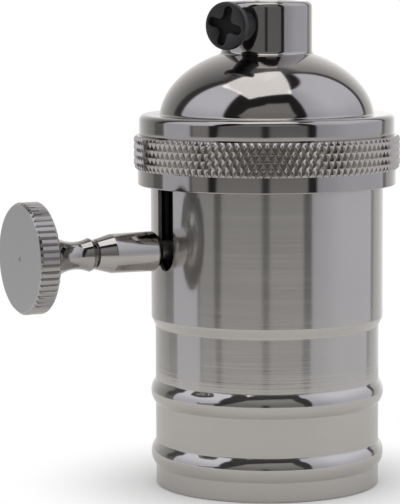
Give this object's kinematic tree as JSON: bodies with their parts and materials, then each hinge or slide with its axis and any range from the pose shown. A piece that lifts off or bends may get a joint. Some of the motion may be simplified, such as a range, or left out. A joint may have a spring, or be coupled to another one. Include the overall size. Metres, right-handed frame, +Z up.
{
  "type": "turn knob lamp socket",
  "caption": "Metal lamp socket with a knurled domed cap, threaded neck, slotted beaded shell and a side turn knob on a rotary switch, for a screw-in lamp.",
  "frame": {"origin": "on the socket's axis in the plane of the open rim that it stands on", "axes": "+Z up along the socket's axis from the rim to the neck, the knob points along -X"},
  "size_m": [0.0634, 0.042, 0.0764],
  "materials": {
    "shell_metal": "dark nickel plate, fine turned lines",
    "cap_metal": "dark nickel plate, polished",
    "knob_metal": "dark nickel plate, polished, satin on the knob's face",
    "grip_plastic": "black, moulded",
    "spindle_steel": "plain turned",
    "liner_fibre": "black fibre",
    "phenolic": "black phenolic moulding",
    "contact_brass": "rolled strip",
    "screw_shell_metal": "rolled sheet",
    "fastener_brass": "turned",
    "fastener_steel": "zinc plated"
  },
  "bodies": {
    "socket": {"shell": "shell_metal", "insulating_liner": "liner_fibre", "switch_housing": "phenolic", "detent_spring": "contact_brass", "line_contact": "contact_brass", "lamp_contact": "contact_brass", "lamp_base": "phenolic", "screw_shell": "screw_shell_metal", "centre_rivet": "fastener_brass", "shell_rivets": "fastener_brass", "neutral_strap": "contact_brass", "clamp_plates": "fastener_steel", "terminal_screws": "fastener_brass", "core_screws": "fastener_steel"},
    "cap": {"cap": "cap_metal"},
    "cord_grip_screw": {"cord_grip_screw": "grip_plastic"},
    "knob": {"knob": "knob_metal", "knob_sleeve": "knob_metal", "spindle": "spindle_steel", "spindle_clip": "spindle_steel", "switch_rotor": "phenolic", "bridge_contact": "contact_brass"},
    "centre_contact": {"centre_contact": "contact_brass"}
  },
  "joints": [
    {"name": "knob_turn", "type": "hinge", "parent": "socket", "child": "knob", "pos_m": [0, 0, 0.038], "axis": [1, 0, 0], "continuous": true, "deforming": ["detent_spring"]},
    {"name": "cap_lift", "type": "slide", "parent": "socket", "child": "cap", "axis": [0, 0, 1], "range_m": [0, 0.014]},
    {"name": "cord_grip", "type": "slide", "parent": "cap", "child": "cord_grip_screw", "axis": [0.8755, 0.4833, 0], "range_m": [0, 0.0032]},
    {"name": "centre_contact_press", "type": "hinge", "parent": "socket", "child": "centre_contact", "pos_m": [-0.004, 0, 0.02675], "axis": [0, -1, 0], "range_deg": [0, 8], "stiffness_Nm_per_rad": 0.02}
  ]
}
